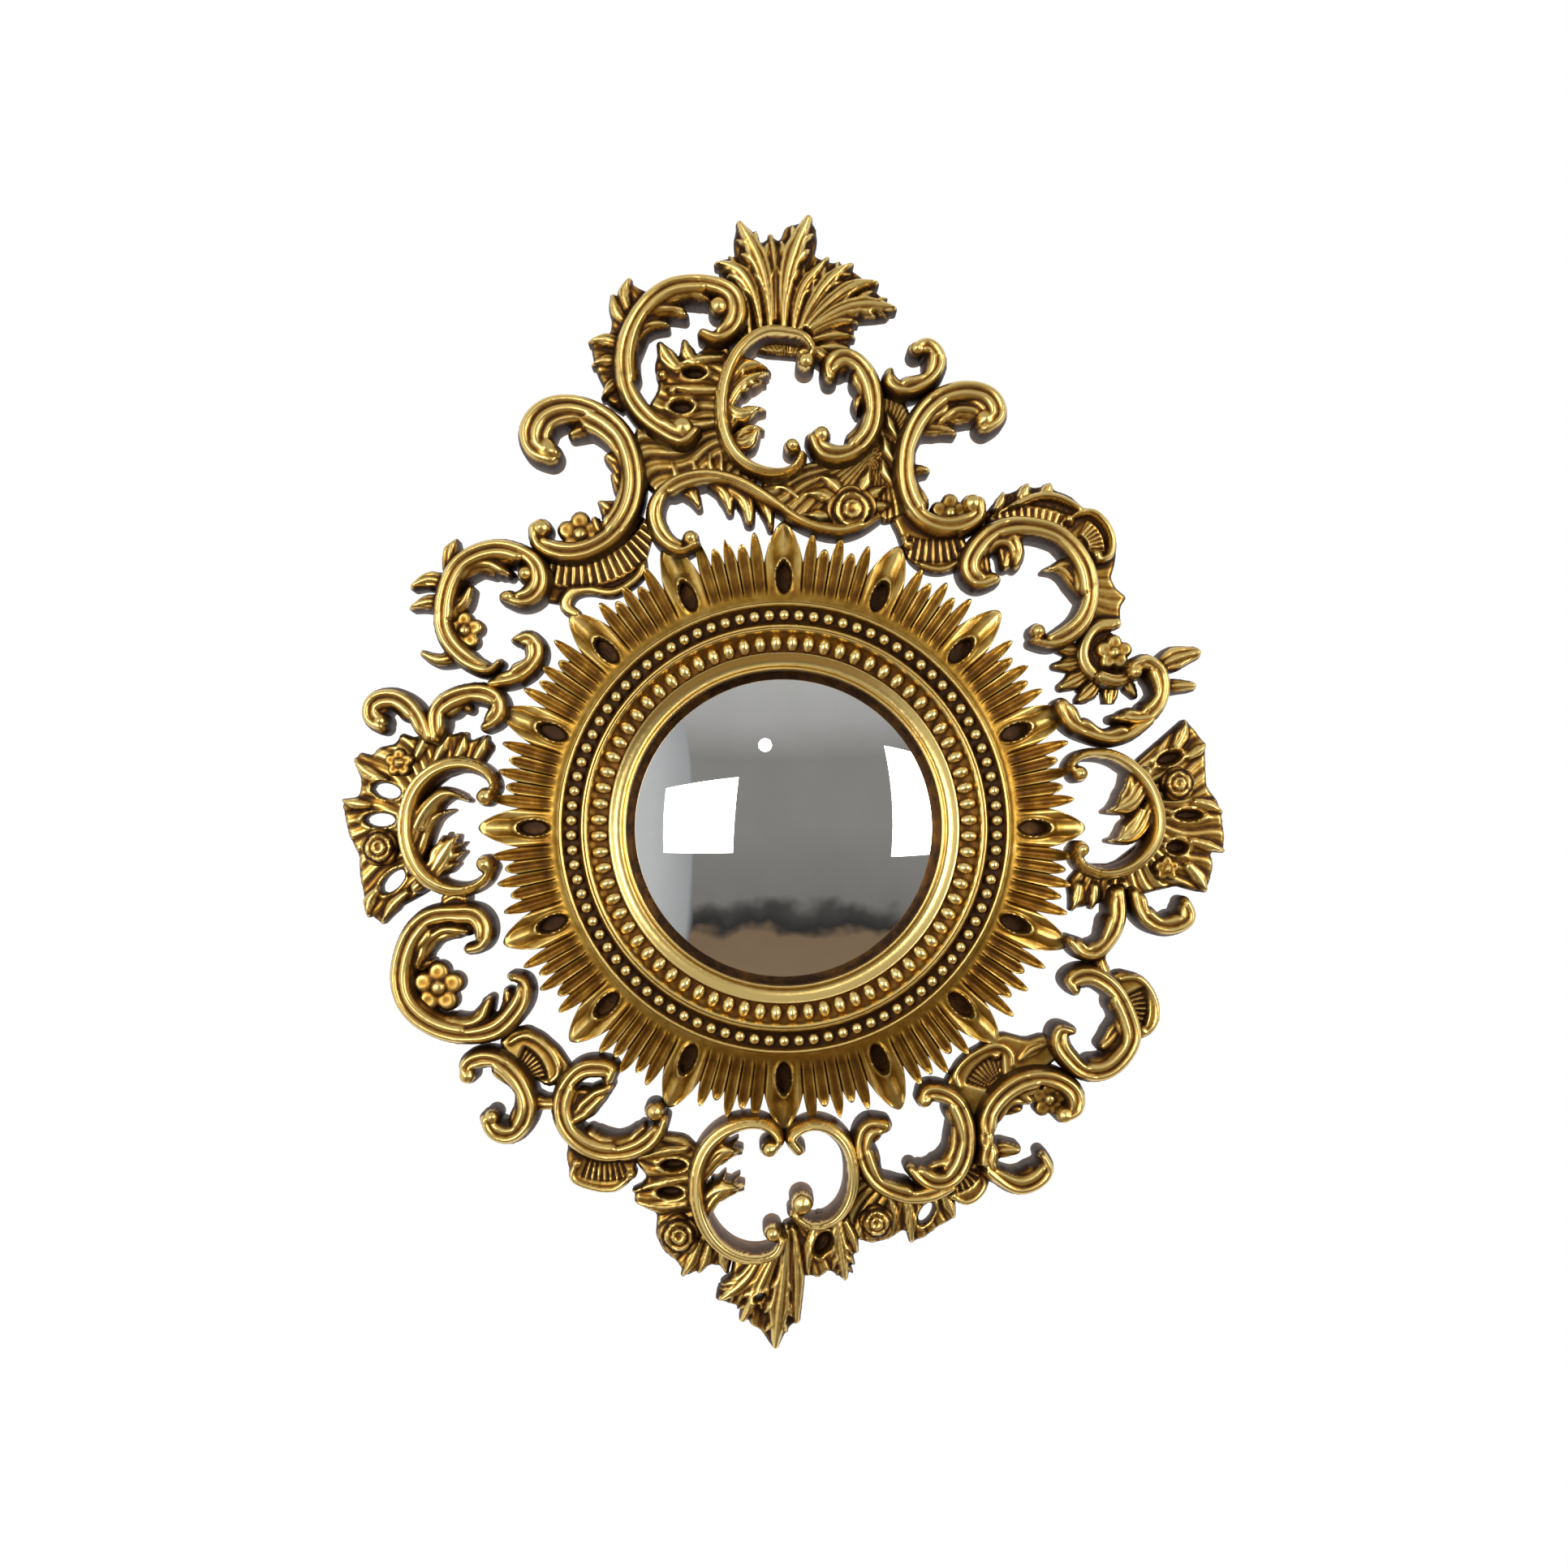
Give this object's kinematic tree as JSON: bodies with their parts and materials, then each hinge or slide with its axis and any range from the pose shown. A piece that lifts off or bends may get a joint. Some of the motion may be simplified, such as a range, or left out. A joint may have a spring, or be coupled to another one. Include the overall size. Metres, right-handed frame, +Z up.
{
  "type": "convex wall mirror",
  "caption": "Convex wall mirror in a gilt frame: beaded moulding, carved sunburst and pierced border of scrolls, leaves, shells and flowers.",
  "frame": {"origin": "on the mirror's axis, in the wall plane that the pads touch", "axes": "+Z up, +X to the viewer's right, +Y into the wall, so the mirror faces -Y"},
  "size_m": [0.546, 0.0447, 0.6965],
  "materials": {
    "gilt": "cast resin, gilt: antique gold with dark patina in the recesses",
    "bright_gilt": "burnished gold on the plain scrolls and the sight lip",
    "bead_gilt": "antique gold, worn on the crowns of the beads",
    "burst_gilt": "antique gold with dark grooves",
    "mirror_glass": "silvered convex glass",
    "packing": "raw card and wood packing",
    "board": "thin brown hardboard",
    "pad": "matt felt-like pads",
    "screw_steel": "plain steel",
    "hanger_brass": "plain brass",
    "button_brass": "plain brass"
  },
  "bodies": {
    "frame": {"backing_board": "board", "base_c_scroll": "bright_gilt", "base_left_panel": "gilt", "base_left_scroll": "gilt", "base_pendant": "gilt", "base_right_leaf_scroll": "gilt", "base_right_panel": "gilt", "base_right_scroll": "gilt", "base_s_scroll": "bright_gilt", "button_screws": "screw_steel", "corner_florets": "gilt", "crest_c_scroll": "bright_gilt", "crest_left_hook": "gilt", "crest_left_panel": "gilt", "crest_left_scroll": "gilt", "crest_right_curl": "gilt", "crest_right_hook": "gilt", "crest_right_panel": "gilt", "crest_s_scroll": "gilt", "crest_spray": "gilt", "egg_beads": "bead_gilt", "glass_spacer": "packing", "hanger_screw": "screw_steel", "hanger_strap": "hanger_brass", "left_c_scroll": "bright_gilt", "left_panel": "gilt", "left_upper_arch": "gilt", "left_upper_hook": "gilt", "lower_left_scroll": "gilt", "lower_left_shell": "gilt", "lower_left_small_scroll": "gilt", "lower_right_flower_scroll": "gilt", "lower_right_inner_shell": "gilt", "lower_right_outer_shell": "gilt", "lower_right_scroll": "gilt", "mirror_glass": "mirror_glass", "panel_florets": "gilt", "pearl_beads": "bead_gilt", "pearl_moulding": "gilt", "right_c_scroll": "bright_gilt", "right_lower_hook": "gilt", "right_lower_stem": "gilt", "right_panel": "gilt", "right_upper_arch": "gilt", "right_upper_scroll": "gilt", "roses": "gilt", "sight_ring": "bright_gilt", "sunburst": "burst_gilt", "upper_left_leaf_hook": "gilt", "upper_left_scroll": "gilt", "upper_left_shell": "gilt", "upper_right_scroll": "gilt", "upper_right_shell": "gilt", "vine_scroll": "gilt", "wall_pads": "pad"},
    "hanger_ring": {"hanger_ring": "hanger_brass"},
    "turn_button_1": {"turn_button_1": "button_brass"},
    "turn_button_2": {"turn_button_2": "button_brass"},
    "turn_button_3": {"turn_button_3": "button_brass"},
    "turn_button_4": {"turn_button_4": "button_brass"}
  },
  "joints": [
    {"name": "hanger_hinge", "type": "hinge", "parent": "frame", "child": "hanger_ring", "pos_m": [0, -0.0039, 0.138], "axis": [-1, 0, 0], "range_deg": [0, 180]},
    {"name": "button_pivot_1", "type": "hinge", "parent": "frame", "child": "turn_button_1", "pos_m": [0.07778, -0.005, 0.07778], "axis": [0, 1, 0], "range_deg": [-100, 100]},
    {"name": "button_pivot_2", "type": "hinge", "parent": "frame", "child": "turn_button_2", "pos_m": [-0.07778, -0.005, 0.07778], "axis": [0, 1, 0], "range_deg": [-100, 100]},
    {"name": "button_pivot_3", "type": "hinge", "parent": "frame", "child": "turn_button_3", "pos_m": [-0.07778, -0.005, -0.07778], "axis": [0, 1, 0], "range_deg": [-100, 100]},
    {"name": "button_pivot_4", "type": "hinge", "parent": "frame", "child": "turn_button_4", "pos_m": [0.07778, -0.005, -0.07778], "axis": [0, 1, 0], "range_deg": [-100, 100]}
  ]
}
